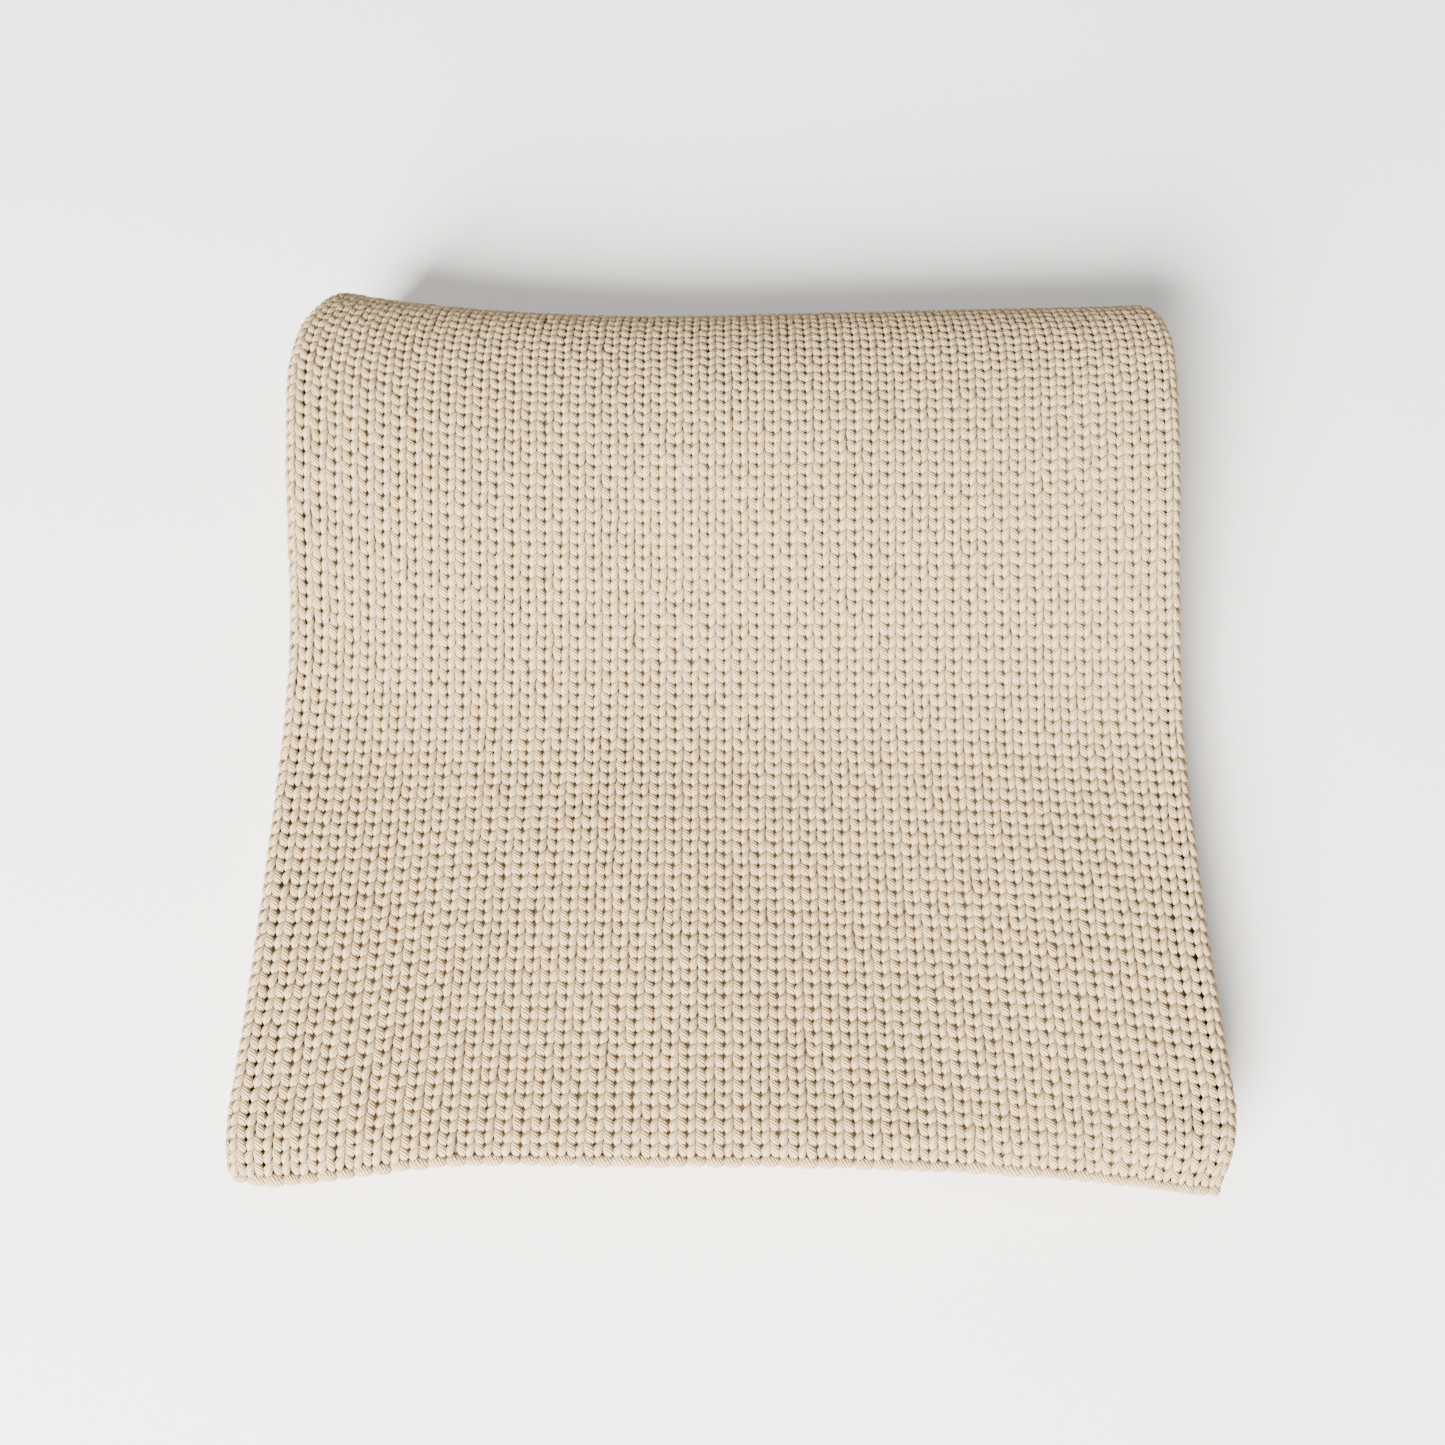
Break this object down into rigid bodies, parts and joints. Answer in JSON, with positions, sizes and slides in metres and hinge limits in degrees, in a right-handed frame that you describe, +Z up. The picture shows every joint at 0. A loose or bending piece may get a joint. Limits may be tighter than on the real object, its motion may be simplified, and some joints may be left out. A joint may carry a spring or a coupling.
{
  "type": "folded throw blanket",
  "caption": "Chunky knitted throw blanket, folded in thirds both ways into a soft square with a lofty fold at the back; the top strip opens back over that fold.",
  "frame": {"origin": "under the centre of the folded throw, on the surface that it lies on", "axes": "+Z up; +Y from the near edge to the far fold; +X to the right, seen from the near edge"},
  "size_m": [0.4506, 0.432, 0.072],
  "materials": {
    "knit_cream": "matte",
    "edge_chain_cream": "matte"
  },
  "bodies": {
    "lower_stack": {"bottom_strip_face": "knit_cream", "bottom_strip_left_third": "knit_cream", "bottom_strip_right_third": "knit_cream", "near_fold_face": "knit_cream", "near_fold_left_third": "knit_cream", "near_fold_right_third": "knit_cream", "middle_strip_face": "knit_cream", "middle_strip_left_third": "knit_cream", "middle_strip_right_third": "knit_cream", "bound_off_edge_face": "edge_chain_cream", "bound_off_edge_left_third": "edge_chain_cream", "bound_off_edge_right_third": "edge_chain_cream"},
    "far_fold": {"far_fold_face": "knit_cream", "far_fold_left_third": "knit_cream", "far_fold_right_third": "knit_cream"},
    "top_flap": {"top_strip_face": "knit_cream", "top_strip_left_third": "knit_cream", "top_strip_right_third": "knit_cream", "cast_on_edge_face": "edge_chain_cream", "cast_on_edge_left_third": "edge_chain_cream", "cast_on_edge_right_third": "edge_chain_cream"}
  },
  "joints": [
    {"name": "open_far_fold", "type": "hinge", "parent": "lower_stack", "child": "far_fold", "pos_m": [0, 0.20826, 0.00774], "axis": [-1, 0, 0], "range_deg": [0, 90]},
    {"name": "lay_flap_back", "type": "hinge", "parent": "far_fold", "child": "top_flap", "pos_m": [0, 0.20826, 0.06426], "axis": [-1, 0, 0], "range_deg": [0, 95]}
  ],
  "couplings": [
    {"joint": "lay_flap_back", "follows": "open_far_fold", "ratio": 1.05}
  ]
}
